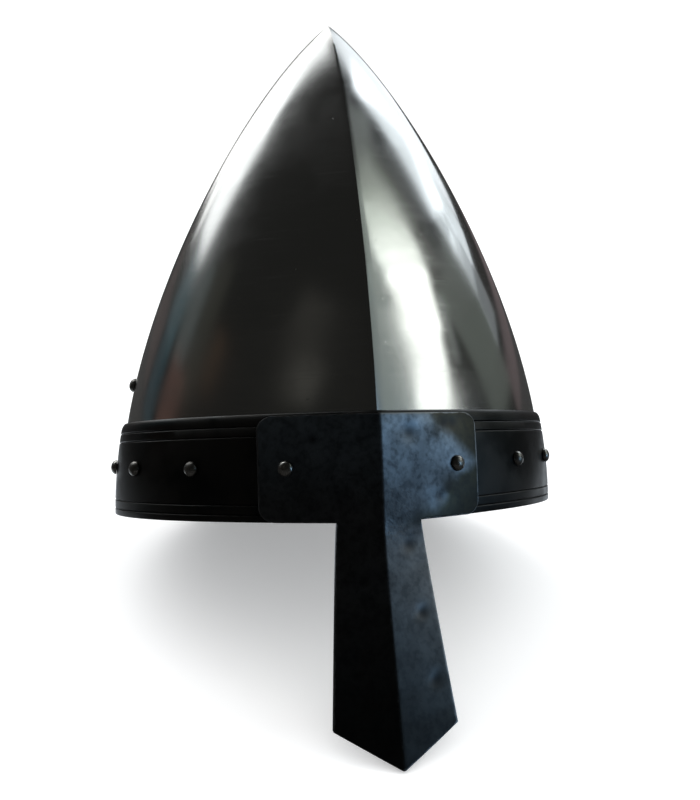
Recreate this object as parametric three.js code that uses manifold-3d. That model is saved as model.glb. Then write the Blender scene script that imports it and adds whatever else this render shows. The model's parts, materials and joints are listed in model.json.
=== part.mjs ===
// Nasal helmet: a pointed steel dome with a sharp front ridge, a riveted brow band and a creased nose guard.
// Millimetres, +Z up, front towards -Y. It leans back, at rest on the nose guard's tip and the back of the rim.
import * as THREE from 'three';
import { mergeVertices } from 'three/addons/utils/BufferGeometryUtils.js';
import Module from 'manifold-3d';

const wasm = await Module();
wasm.setup();

const { degToRad } = THREE.MathUtils;

// Driving sizes, in the upright helmet's own frame: rim at z = 0, front at -Y
const CLEARANCE = 0.3;
const SIDES_AROUND = 49;

const DOME = {
  height: 234.5,
  halfWidth: 104,
  front: 98,
  back: 111,
  wall: 1.6,
  apexForward: 11,
  footHandle: 92,
  tipHandleRadius: 37.7,
  tipHandleHeight: 204.3,
  levels: 15,
};

const FRONT_ARC = degToRad(39);

const BAND = {
  thickness: 2.0,
  height: 39.5,
  frontRise: 4.5,
  bottomChamfer: 0.4,
  grooveWidth: 0.9,
  grooveDepth: 0.4,
};

const NASAL = {
  thickness: 2.5,
  flangeHalfWidth: 46,
  cornerRadius: 6,
  belowBandTop: 1.2,
  barHalfWidthAtRim: 17,
  barHalfWidthAtEnd: 23.7,
  depthToCorners: 73.8,
  depthToTip: 86.5,
  tipForward: 23,
  bendLength: 10,
  creaseFlattening: 0.4,
};

const RIVET = {
  headRadius: 3.3,
  headHeight: 2.6,
  shankRadius: 1.6,
  innerHeadRadius: 2.8,
  innerHeadHeight: 1.2,
  innerGap: 0.75,
  sides: 8,
  height: 21.7,
  plateAngle: degToRad(16.7),
  spacesToBack: 7,
};

const DOME_RIVET = { angle: degToRad(90), height: 60 };

// Finishes
const POLISHED_STEEL = new THREE.MeshStandardMaterial({ color: 0x9a9c9c, metalness: 1, roughness: 0.16 });
const BLACKENED_STEEL = new THREE.MeshStandardMaterial({ color: 0x17191b, metalness: 0.9, roughness: 0.38 });
const BLUED_STEEL = new THREE.MeshStandardMaterial({ color: 0x1d242c, metalness: 0.9, roughness: 0.42 });
const RIVET_STEEL = new THREE.MeshStandardMaterial({ color: 0x2e3236, metalness: 1, roughness: 0.28 });

// The dome's side outline, from the rim up to the point
const profile = new THREE.CubicBezierCurve(
  new THREE.Vector2(DOME.halfWidth, 0),
  new THREE.Vector2(DOME.halfWidth, DOME.footHandle),
  new THREE.Vector2(DOME.tipHandleRadius, DOME.tipHandleHeight),
  new THREE.Vector2(0, DOME.height),
);

/** Half-width of the dome's outside at a height above the rim. */
function radiusAt(height) {
  const wanted = Math.max(height, 0);
  let low = 0;
  let high = 1;
  for (let step = 0; step < 40; step += 1) {
    const middle = (low + high) / 2;
    if (profile.getPoint(middle).y < wanted) low = middle;
    else high = middle;
  }
  return profile.getPoint(high).x;
}

/** Lean of the level at a height: the point stands a little forward of the rim's centre. */
function leanAt(height) {
  return -DOME.apexForward * height / DOME.height;
}

/**
 * Point of a level section, at an angle from the front (+ towards +X), of a section this wide to each side.
 * Two long arcs meet in the sharp front ridge, and the back is half an ellipse.
 */
function sectionPoint(angle, radius, height) {
  const turn = Math.abs(angle);
  const side = Math.sign(angle);
  const scale = radius / DOME.halfWidth;
  if (turn > Math.PI / 2) {
    return new THREE.Vector3(
      side * radius * Math.sin(turn),
      -scale * DOME.back * Math.cos(turn) + leanAt(height),
      height,
    );
  }
  const arc = FRONT_ARC * (1 - turn / (Math.PI / 2));
  return new THREE.Vector3(
    side * radius * (Math.cos(arc) - Math.cos(FRONT_ARC)) / (1 - Math.cos(FRONT_ARC)),
    -scale * DOME.front * Math.sin(arc) / Math.sin(FRONT_ARC) + leanAt(height),
    height,
  );
}

/** Y of the front of a level section at a distance to the side of the ridge. */
function frontY(x, radius, height) {
  const cosine = Math.cos(FRONT_ARC) + (Math.abs(x) / radius) * (1 - Math.cos(FRONT_ARC));
  const arc = Math.acos(Math.min(cosine, 1));
  return -(radius / DOME.halfWidth) * DOME.front * Math.sin(arc) / Math.sin(FRONT_ARC) + leanAt(height);
}

/** Extra height of the band's top at an angle from the front. */
function bandRise(angle) {
  return BAND.frontRise * (1 + Math.cos(angle)) / 2;
}

/** A closed geometry with only positions, its equal vertices merged. */
function closedGeometry(geometry) {
  geometry.deleteAttribute('normal');
  geometry.deleteAttribute('uv');
  return mergeVertices(geometry, 1e-4);
}

/**
 * Turns a profile of (radius, height) points round the helmet and presses each level into the plan's shape.
 * lift adds height to a point by its angle and its height in the profile, and the point follows the dome there.
 */
function pressedLathe(points, lift = () => 0) {
  const geometry = new THREE.LatheGeometry(points, SIDES_AROUND);
  const position = geometry.attributes.position;
  for (let i = 0; i < position.count; i += 1) {
    const radius = Math.hypot(position.getX(i), position.getZ(i));
    const angle = Math.atan2(position.getX(i), position.getZ(i));
    const height = position.getY(i);
    const level = height + lift(angle, height);
    const followed = radius + radiusAt(level) - radiusAt(height);
    const pressed = sectionPoint(angle, followed, level);
    position.setXYZ(i, pressed.x, pressed.y, level);
  }
  return closedGeometry(geometry);
}

/** The exact solid of a closed geometry, placed by a matrix. */
function solidOf(geometry, matrix = new THREE.Matrix4()) {
  const placed = geometry.clone().applyMatrix4(matrix);
  return new wasm.Manifold(new wasm.Mesh({
    numProp: 3,
    vertProperties: new Float32Array(placed.attributes.position.array),
    triVerts: new Uint32Array(placed.index.array),
  }));
}

/** A three.js geometry of a solid. */
function geometryOf(solid) {
  const mesh = solid.getMesh();
  const geometry = new THREE.BufferGeometry();
  geometry.setAttribute('position', new THREE.BufferAttribute(new Float32Array(mesh.vertProperties), 3));
  geometry.setIndex(new THREE.BufferAttribute(new Uint32Array(mesh.triVerts), 1));
  geometry.computeVertexNormals();
  return geometry;
}

/** Cuts a hole for each seated rivet through a closed geometry. */
function drilled(geometry, seats) {
  const drillRadius = RIVET.shankRadius + CLEARANCE;
  const drillLength = 30;
  const drill = closedGeometry(
    new THREE.CylinderGeometry(drillRadius, drillRadius, drillLength, RIVET.sides),
  );
  let solid = solidOf(geometry);
  for (const seat of seats) solid = solid.subtract(solidOf(drill, seat.matrix));
  return geometryOf(solid);
}

/** The seat of a rivet: a frame whose Y axis leaves the surface, at an angle, height and width of section. */
function rivetSeat(name, angle, height, standOff, stack) {
  const step = 1e-3;
  const at = (turn, level) => sectionPoint(turn, radiusAt(level) + standOff, level);
  const around = at(angle + step, height).sub(at(angle - step, height));
  const up = at(angle, height + step).sub(at(angle, height - step));
  const outward = around.cross(up).normalize();
  const turnToSurface = new THREE.Quaternion().setFromUnitVectors(new THREE.Vector3(0, 1, 0), outward);
  const matrix = new THREE.Matrix4().compose(at(angle, height), turnToSurface, new THREE.Vector3(1, 1, 1));
  return { name, matrix, stack };
}

/** A round-headed rivet, peened over on the inside, for a stack of sheets this thick. */
function rivetGeometry(stack) {
  const innerFace = -(stack + RIVET.innerGap);
  const points = [
    new THREE.Vector2(0, innerFace - RIVET.innerHeadHeight),
    new THREE.Vector2(0.7 * RIVET.innerHeadRadius, innerFace - 0.8 * RIVET.innerHeadHeight),
    new THREE.Vector2(RIVET.innerHeadRadius, innerFace),
    new THREE.Vector2(RIVET.shankRadius, innerFace),
    new THREE.Vector2(RIVET.shankRadius, CLEARANCE),
    new THREE.Vector2(RIVET.headRadius, CLEARANCE),
  ];
  for (const rise of [30, 60, 90]) {
    const angle = degToRad(rise);
    points.push(new THREE.Vector2(
      rise === 90 ? 0 : RIVET.headRadius * Math.cos(angle),
      CLEARANCE + RIVET.headHeight * Math.sin(angle),
    ));
  }
  return closedGeometry(new THREE.LatheGeometry(points, RIVET.sides));
}

// Dome: an outer and an inner wall that meet in the flat rim
function domeGeometry() {
  const outer = [];
  const inner = [];
  for (let level = 0; level < DOME.levels; level += 1) {
    const along = level / DOME.levels;
    const point = profile.getPoint(along);
    const tangent = profile.getTangent(along);
    outer.push(point);
    inner.push(new THREE.Vector2(point.x - DOME.wall * tangent.y, point.y + DOME.wall * tangent.x));
  }
  const tipTangent = profile.getTangent(1);
  outer.push(new THREE.Vector2(0, DOME.height));
  inner.push(new THREE.Vector2(0, DOME.height + DOME.wall / tipTangent.x));
  return pressedLathe([...inner.reverse(), ...outer]);
}

// Brow band: a flat ring with engraved double lines and a rounded top edge, taller at the front
function bandGeometry() {
  const half = BAND.grooveWidth / 2;
  const sunk = BAND.thickness - BAND.grooveDepth;
  const groove = (height) => [
    { out: BAND.thickness, height: height - half },
    { out: sunk, height },
    { out: BAND.thickness, height: height + half },
  ];
  const wall = (out, shares) => shares.map((share) => ({ out, height: share * BAND.height }));
  const section = [
    { out: 0, height: 0 },
    { out: BAND.thickness - BAND.bottomChamfer, height: 0 },
    { out: BAND.thickness, height: BAND.bottomChamfer },
    ...groove(3),
    ...groove(7),
    ...wall(BAND.thickness, [0.35, 0.49, 0.62]),
    ...groove(BAND.height - 9),
    ...groove(BAND.height - 5),
    { out: BAND.thickness, height: BAND.height - 1.3 },
    { out: 0.75 * BAND.thickness, height: BAND.height - 0.4 },
    { out: 0.4 * BAND.thickness, height: BAND.height },
    ...wall(0, [1, 0.75, 0.51, 0.49, 0.25, 0]),
  ];
  const points = section.map(({ out, height }) => new THREE.Vector2(
    radiusAt(height) + CLEARANCE + out,
    height,
  ));
  const lift = (angle, height) => (height > BAND.height / 2 ? bandRise(angle) : 0);
  return pressedLathe(points, lift);
}

/** Y of the nose guard's sheet, this far out from the band's face, at a flat point of its pattern. */
function nasalY(x, z, out) {
  const standOff = CLEARANCE + BAND.thickness + CLEARANCE + out;
  const depth = Math.max(-z, 0);
  const level = Math.max(z, 0);
  const crease = frontY(0, radiusAt(level) + standOff, level);
  const behindCrease = frontY(x, radiusAt(level) + standOff, level) - crease;
  const reach = (at) => at * at / (at + NASAL.bendLength);
  const forward = NASAL.tipForward * reach(depth) / reach(NASAL.depthToTip);
  const flattening = 1 - NASAL.creaseFlattening * depth / NASAL.depthToTip;
  return crease - forward + behindCrease * flattening;
}

/** Rows and columns of flat (x, z) points, as quads of a pattern. */
function patternGrid(columns, rows, place) {
  const quads = [];
  for (let i = 0; i < columns.length - 1; i += 1) {
    for (let j = 0; j < rows; j += 1) {
      quads.push([
        place(columns[i], j / rows),
        place(columns[i + 1], j / rows),
        place(columns[i + 1], (j + 1) / rows),
        place(columns[i], (j + 1) / rows),
      ]);
    }
  }
  return quads;
}

/** Thickens a flat pattern of quads into a plate between two surfaces y = surface(x, z, out). */
function plateGeometry(quads, surface, thickness) {
  const corners = new Map();
  const positions = [];
  const triangles = [];
  const edges = new Map();
  const cornerOf = ([x, z]) => {
    const key = `${x.toFixed(4)} ${z.toFixed(4)}`;
    if (!corners.has(key)) {
      corners.set(key, corners.size);
      positions.push(x, surface(x, z, thickness), z, x, surface(x, z, 0), z);
    }
    return corners.get(key);
  };
  const frontOf = (corner) => 2 * corner;
  const backOf = (corner) => 2 * corner + 1;
  for (const quad of quads) {
    const [a, b, c, d] = quad.map(cornerOf);
    for (const [p, q, r] of [[a, b, c], [a, c, d]]) {
      triangles.push(frontOf(p), frontOf(q), frontOf(r), backOf(p), backOf(r), backOf(q));
      for (const [from, to] of [[p, q], [q, r], [r, p]]) edges.set(`${from} ${to}`, [from, to]);
    }
  }
  for (const [from, to] of edges.values()) {
    if (edges.has(`${to} ${from}`)) continue;
    triangles.push(frontOf(from), backOf(from), backOf(to), frontOf(from), backOf(to), frontOf(to));
  }
  const geometry = new THREE.BufferGeometry();
  geometry.setAttribute('position', new THREE.Float32BufferAttribute(positions, 3));
  geometry.setIndex(triangles);
  return geometry;
}

// Nose guard: a flange over the band with rounded corners, and a creased bar that widens to a pointed end
function nasalGeometry() {
  const rimGap = 0.2;
  const roundStart = NASAL.flangeHalfWidth - NASAL.cornerRadius;
  const cornerDrop = (x) => {
    const past = Math.max(Math.abs(x) - roundStart, 0);
    return NASAL.cornerRadius - Math.sqrt(Math.max(NASAL.cornerRadius ** 2 - past ** 2, 0));
  };
  const flangeTop = (x) => {
    const angle = Math.abs(x) / DOME.halfWidth;
    return BAND.height + bandRise(angle) - NASAL.belowBandTop - cornerDrop(x);
  };
  const onFlange = (x, up) => {
    const bottom = rimGap + cornerDrop(x);
    return [x, bottom + up * (flangeTop(x) - bottom)];
  };
  const onBar = (x, up) => {
    const down = 1 - up;
    const share = x / NASAL.barHalfWidthAtRim;
    const chevron = NASAL.depthToTip - (NASAL.depthToTip - NASAL.depthToCorners) * Math.abs(share);
    const widened = NASAL.barHalfWidthAtEnd - NASAL.barHalfWidthAtRim;
    return [x + share * widened * down, rimGap - down * (chevron + rimGap)];
  };
  const half = NASAL.barHalfWidthAtRim;
  const barColumns = [-half, -half / 2, 0, half / 2, half];
  const wing = [half, 25, 33, roundStart];
  for (const turn of [35, 65, 90]) wing.push(roundStart + NASAL.cornerRadius * Math.sin(degToRad(turn)));
  const wingBack = wing.map((x) => -x).reverse();
  const flangeRows = 4;
  const barRows = 7;
  const quads = [
    ...patternGrid(wingBack, flangeRows, onFlange),
    ...patternGrid(barColumns, flangeRows, onFlange),
    ...patternGrid(wing, flangeRows, onFlange),
    ...patternGrid(barColumns, barRows, onBar),
  ];
  return plateGeometry(quads, nasalY, NASAL.thickness);
}

// Rivet seats: along the band from the nose guard's flange to the back, and one on each side of the dome
const bandStack = BAND.thickness + CLEARANCE + DOME.wall;
const plateStack = NASAL.thickness + CLEARANCE + bandStack;
const bandFace = CLEARANCE + BAND.thickness;
const plateFace = bandFace + CLEARANCE + NASAL.thickness;

const plateSeats = [
  rivetSeat('nasal_rivet_right', RIVET.plateAngle, RIVET.height, plateFace, plateStack),
  rivetSeat('nasal_rivet_left', -RIVET.plateAngle, RIVET.height, plateFace, plateStack),
];

const bandSeats = [];
const rivetStep = (Math.PI - RIVET.plateAngle) / RIVET.spacesToBack;
for (let place = 1; place < RIVET.spacesToBack; place += 1) {
  const angle = RIVET.plateAngle + place * rivetStep;
  bandSeats.push(
    rivetSeat(`band_rivet_right_${place}`, angle, RIVET.height, bandFace, bandStack),
    rivetSeat(`band_rivet_left_${place}`, -angle, RIVET.height, bandFace, bandStack),
  );
}
bandSeats.push(rivetSeat('band_rivet_back', Math.PI - 1e-6, RIVET.height, bandFace, bandStack));

const domeSeats = [
  rivetSeat('dome_rivet_right', DOME_RIVET.angle, DOME_RIVET.height, 0, DOME.wall),
  rivetSeat('dome_rivet_left', -DOME_RIVET.angle, DOME_RIVET.height, 0, DOME.wall),
];

/** A named mesh of one piece. */
function piece(name, geometry, material) {
  const mesh = new THREE.Mesh(geometry, material);
  mesh.name = name;
  return mesh;
}

// The upright helmet
const upright = new THREE.Group();
upright.add(piece('dome', drilled(domeGeometry(), [...plateSeats, ...bandSeats, ...domeSeats]), POLISHED_STEEL));
upright.add(piece('brow_band', drilled(bandGeometry(), [...plateSeats, ...bandSeats]), BLACKENED_STEEL));
upright.add(piece('nasal', drilled(nasalGeometry(), plateSeats), BLUED_STEEL));
for (const seat of [...plateSeats, ...bandSeats, ...domeSeats]) {
  const rivet = piece(seat.name, rivetGeometry(seat.stack), RIVET_STEEL);
  rivet.applyMatrix4(seat.matrix);
  upright.add(rivet);
}

// At rest: leaning back until the nose guard's tip and the back of the rim are level
const tipY = nasalY(0, -NASAL.depthToTip, 0);
const backColumn = Math.PI * (1 - 1 / SIDES_AROUND);
const rimRadius = radiusAt(0) + bandFace - BAND.bottomChamfer;
const backY = sectionPoint(backColumn, rimRadius, 0).y;
upright.rotation.x = -Math.atan2(NASAL.depthToTip, backY - tipY);

// Origin: under the middle of the whole helmet, on the surface that it rests on
const helmet = new THREE.Group();
helmet.add(upright);
const box = new THREE.Box3().setFromObject(helmet, true);
const middle = box.getCenter(new THREE.Vector3());
helmet.position.set(-middle.x, -middle.y, -box.min.z);
helmet.updateMatrixWorld(true);

export default helmet;
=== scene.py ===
"""Dresses the nasal helmet: a polished dome, an engraved brow band, a blued nose guard and their rivets.

Lengths are metres. Each piece is shaped in the upright helmet's own frame, with the rim at z = 0 and the
front at -Y, and is then laid into the rest pose, which the record gives by the mount of the head opening.
"""

import json
import logging
import math
from collections.abc import Callable, Sequence
from dataclasses import dataclass, field
from enum import Enum

import bpy
import numpy as np
from mathutils import Matrix, Quaternion, Vector


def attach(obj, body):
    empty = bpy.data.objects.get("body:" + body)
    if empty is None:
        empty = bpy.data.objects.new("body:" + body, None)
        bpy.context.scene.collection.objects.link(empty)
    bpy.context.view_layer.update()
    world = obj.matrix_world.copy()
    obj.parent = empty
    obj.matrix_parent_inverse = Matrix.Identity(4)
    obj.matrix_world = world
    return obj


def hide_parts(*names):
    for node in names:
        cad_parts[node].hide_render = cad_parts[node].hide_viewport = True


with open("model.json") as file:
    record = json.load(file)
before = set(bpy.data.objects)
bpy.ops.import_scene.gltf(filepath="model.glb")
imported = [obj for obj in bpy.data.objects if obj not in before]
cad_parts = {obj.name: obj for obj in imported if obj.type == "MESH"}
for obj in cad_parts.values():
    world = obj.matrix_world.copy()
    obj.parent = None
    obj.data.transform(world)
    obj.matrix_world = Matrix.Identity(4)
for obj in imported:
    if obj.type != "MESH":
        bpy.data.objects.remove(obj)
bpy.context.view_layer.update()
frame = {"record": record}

LOG = logging.getLogger("helmet")
MM = 0.001
SHEET_GAP = 0.3 * MM
SPIN_SEAM = 0.001 * MM
MIDDLE_TOLERANCE = 0.01 * MM

Color = tuple[float, float, float, float]
Triple = tuple[float, float, float]
Span = tuple[float, float]
Points = list[tuple[float, float]]
FlatRule = Callable[[np.ndarray, np.ndarray], np.ndarray]
EdgeTest = Callable[[Vector, Vector], bool]
Piece = bpy.types.Object
Material = bpy.types.Material
NodeTree = bpy.types.NodeTree
Socket = bpy.types.NodeSocket
Sockets = bpy.types.bpy_prop_collection


def fading(away: np.ndarray, width: float) -> np.ndarray:
    """Bell curve that is 1 on a line and fades within a width.

    Args:
        away: distances from the line.
        width: how far it reaches.

    Returns:
        Values from 0 to 1.
    """
    return np.exp(-((away / width) ** 2))


class Side(Enum):
    """The two sides of the helmet, as seen from in front."""

    LEFT = -1
    RIGHT = 1


class Seat(Enum):
    """Where a rivet sits, which sets the sheets that it holds together."""

    BAND = "band"
    PLATE = "plate"
    DOME = "dome"


@dataclass(frozen=True)
class HelmetForm:
    """The outside of the dome: a curve from the rim to the point, and level sections with a sharp front."""

    height: float = 234.5 * MM
    half_width: float = 104 * MM
    front: float = 98 * MM
    back: float = 111 * MM
    apex_forward: float = 11 * MM
    foot_handle: float = 92 * MM
    tip_handle_radius: float = 37.7 * MM
    tip_handle_height: float = 204.3 * MM
    front_arc: float = math.radians(39)
    curve_points: int = 2001

    def profile(self, along: np.ndarray) -> tuple[np.ndarray, np.ndarray]:
        """Points of the side outline.

        Args:
            along: shares of the curve from the rim, 0, to the point, 1.

        Returns:
            Half-widths and heights.
        """
        rest = 1 - along
        foot, lower, upper = rest**3, 3 * rest**2 * along, 3 * rest * along**2
        radius = (foot + lower) * self.half_width + upper * self.tip_handle_radius
        height = lower * self.foot_handle + upper * self.tip_handle_height + along**3 * self.height
        return radius, height

    def radius_at(self, height: np.ndarray | float) -> np.ndarray:
        """Half-width of the outside at heights above the rim.

        Args:
            height: heights above the rim.

        Returns:
            Half-widths.
        """
        radius, level = self.profile(np.linspace(0, 1, self.curve_points))
        return np.interp(height, level, radius)

    def section(self, angle: np.ndarray, radius: np.ndarray, height: np.ndarray) -> np.ndarray:
        """Points of level sections: two long arcs that meet in the front ridge, and a round back.

        Args:
            angle: turns from the front, positive towards +X.
            radius: half-widths of the sections.
            height: heights above the rim.

        Returns:
            Places, one row for each point.
        """
        angle, radius, height = np.broadcast_arrays(angle, radius, height)
        turn = np.abs(angle)
        scale = radius / self.half_width
        arc = self.front_arc * (1 - np.minimum(turn, math.pi / 2) / (math.pi / 2))
        chord = 1 - math.cos(self.front_arc)
        front_x = radius * (np.cos(arc) - math.cos(self.front_arc)) / chord
        front_y = -scale * self.front * np.sin(arc) / math.sin(self.front_arc)
        behind = turn > math.pi / 2
        x = np.sign(angle) * np.where(behind, radius * np.sin(turn), front_x)
        y = np.where(behind, -scale * self.back * np.cos(turn), front_y)
        return np.stack((x, y - self.apex_forward * height / self.height, height), axis=-1)

    def front_y(self, x: np.ndarray, radius: np.ndarray, height: np.ndarray) -> np.ndarray:
        """Y of the front of level sections at distances to the side of the ridge.

        Args:
            x: distances to the side.
            radius: half-widths of the sections.
            height: heights above the rim.

        Returns:
            Y of each point.
        """
        chord = 1 - math.cos(self.front_arc)
        arc = np.arccos(np.minimum(math.cos(self.front_arc) + np.abs(x) / radius * chord, 1))
        reach = radius / self.half_width * self.front * np.sin(arc) / math.sin(self.front_arc)
        return -reach - self.apex_forward * height / self.height


@dataclass(frozen=True)
class RestPose:
    """How the upright helmet lies: leaning back until the nose guard's tip and the rim's back touch."""

    mount: str = "head_opening"

    def matrix(self) -> Matrix:
        """Works out the move from the upright frame to the frame of the record.

        Returns:
            The matrix.
        """
        mount = next(m for m in frame["record"]["mounts"] if m["name"] == self.mount)
        lean = math.atan2(-mount["axis"][1], -mount["axis"][2])
        return Matrix.Translation(mount["pos_m"]) @ Matrix.Rotation(-lean, 4, "X")


class Bench:
    """Handwork in edit mode that the pieces share."""

    @staticmethod
    def clear() -> None:
        """Deselects every object."""
        bpy.ops.object.select_all(action="DESELECT")

    @staticmethod
    def take(piece: Piece) -> None:
        """Selects one object alone and makes it the active one.

        Args:
            piece: the object.
        """
        Bench.clear()
        bpy.context.view_layer.objects.active = piece
        piece.select_set(True)

    @staticmethod
    def join(pieces: Sequence[Piece], into: Piece, name: str) -> None:
        """Joins objects into one of them.

        Args:
            pieces: the objects.
            into: the one that takes up the others.
            name: its new name.
        """
        Bench.take(into)
        for piece in pieces:
            piece.select_set(True)
        bpy.ops.object.join()
        into.name = into.data.name = name

    @staticmethod
    def close_skin(seam: float) -> None:
        """Merges the active mesh's doubled vertices, turns its faces outwards and leaves edit mode.

        Args:
            seam: how far apart doubled vertices may lie.
        """
        bpy.ops.object.mode_set(mode="EDIT")
        bpy.ops.mesh.select_all(action="SELECT")
        bpy.ops.mesh.remove_doubles(threshold=seam)
        bpy.ops.mesh.normals_make_consistent(inside=False)
        bpy.ops.object.mode_set(mode="OBJECT")

    @staticmethod
    def draw_profile(name: str, points: Points) -> Piece:
        """Draws a line of (radius, height) points at the front of the helmet, vertex by vertex.

        Args:
            name: name of the new piece.
            points: the line's points.

        Returns:
            The new object, in edit mode, with the whole line selected.
        """
        Bench.clear()
        bpy.ops.mesh.primitive_plane_add(size=MM)
        piece = bpy.context.object
        piece.name = piece.data.name = name
        bpy.ops.object.mode_set(mode="EDIT")
        bpy.ops.mesh.select_mode(type="VERT")
        bpy.ops.mesh.select_all(action="SELECT")
        bpy.ops.mesh.merge(type="CENTER")
        places = [Vector((0, -radius, height)) for radius, height in points]
        bpy.ops.transform.translate(value=places[0])
        for before, after in zip(places, places[1:]):
            bpy.ops.mesh.extrude_region_move(TRANSFORM_OT_translate={"value": after - before})
        bpy.ops.mesh.select_all(action="SELECT")
        return piece

    @staticmethod
    def turn(piece: Piece, steps: int) -> None:
        """Spins the selected line round the helmet's axis into a closed skin, and leaves edit mode.

        Args:
            piece: the object in edit mode.
            steps: columns around.
        """
        bpy.ops.mesh.spin(steps=steps, angle=2 * math.pi, center=(0, 0, 0), axis=(0, 0, 1))
        Bench.close_skin(SPIN_SEAM)
        LOG.debug("%s: %d faces after the turn", piece.name, len(piece.data.polygons))

    @staticmethod
    def places(piece: Piece) -> np.ndarray:
        """Reads the places of a mesh's vertices.

        Args:
            piece: the object.

        Returns:
            Places, one row for each vertex.
        """
        found = np.empty(3 * len(piece.data.vertices))
        piece.data.vertices.foreach_get("co", found)
        return found.reshape(-1, 3)

    @staticmethod
    def press(piece: Piece, rule: Callable[[np.ndarray], np.ndarray]) -> None:
        """Presses a mesh into its form.

        Args:
            piece: the object, in object mode.
            rule: gives each vertex its new place.
        """
        piece.data.vertices.foreach_set("co", rule(Bench.places(piece)).ravel())
        piece.data.update()

    @staticmethod
    def select_edges(piece: Piece, chosen: EdgeTest) -> None:
        """Selects the edges that a test of their two ends chooses, and enters edit mode.

        Args:
            piece: the object, in object mode.
            chosen: the test.
        """
        Bench.take(piece)
        bpy.ops.object.mode_set(mode="EDIT")
        bpy.ops.mesh.select_mode(type="EDGE")
        bpy.ops.mesh.select_all(action="DESELECT")
        bpy.ops.object.mode_set(mode="OBJECT")
        vertices = piece.data.vertices
        for edge in piece.data.edges:
            first, second = edge.vertices
            edge.select = chosen(vertices[first].co, vertices[second].co)
        bpy.ops.object.mode_set(mode="EDIT")

    @staticmethod
    def soften(piece: Piece, chosen: EdgeTest, width: float, segments: int) -> None:
        """Bevels the edges that a test of their two ends chooses.

        Args:
            piece: the object, in object mode.
            chosen: the test.
            width: how far the bevel reaches.
            segments: faces across it.
        """
        Bench.select_edges(piece, chosen)
        bpy.ops.mesh.bevel(offset=width, segments=segments, affect="EDGES", clamp_overlap=True)
        bpy.ops.object.mode_set(mode="OBJECT")

    @staticmethod
    def apply_modifier(piece: Piece, kind: str, **settings: object) -> None:
        """Adds a modifier with its settings and applies it.

        Args:
            piece: the object, in object mode.
            kind: type of the modifier.
            settings: its properties by name.
        """
        Bench.take(piece)
        modifier = piece.modifiers.new(kind.lower(), kind)
        for name, value in settings.items():
            setattr(modifier, name, value)
        bpy.ops.object.modifier_apply(modifier=modifier.name)

    @staticmethod
    def drill(piece: Piece, drills: Piece) -> None:
        """Cuts the rivets' holes into a piece."""
        Bench.apply_modifier(piece, "BOOLEAN", object=drills, operation="DIFFERENCE", solver="EXACT")

    @staticmethod
    def place(piece: Piece, matrix: Matrix) -> None:
        """Moves a piece by a matrix and puts the move into its mesh.

        Args:
            piece: the object, in object mode.
            matrix: the move.
        """
        Bench.take(piece)
        piece.matrix_world = matrix
        bpy.ops.object.transform_apply(location=True, rotation=True, scale=True)

    @staticmethod
    def smooth(piece: Piece, angle_deg: float) -> None:
        """Shades a piece smooth, with edges sharper than an angle left crisp.

        Args:
            piece: the object, in object mode.
            angle_deg: the angle.
        """
        Bench.take(piece)
        bpy.ops.object.shade_smooth_by_angle(angle=math.radians(angle_deg))

    @staticmethod
    def mark(piece: Piece, name: str, values: np.ndarray) -> None:
        """Writes one value for each vertex as a named attribute.

        Args:
            piece: the object.
            name: name of the attribute.
            values: the values.
        """
        attribute = piece.data.attributes.new(name, "FLOAT", "POINT")
        attribute.data.foreach_set("value", values.astype(np.float32))


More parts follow.
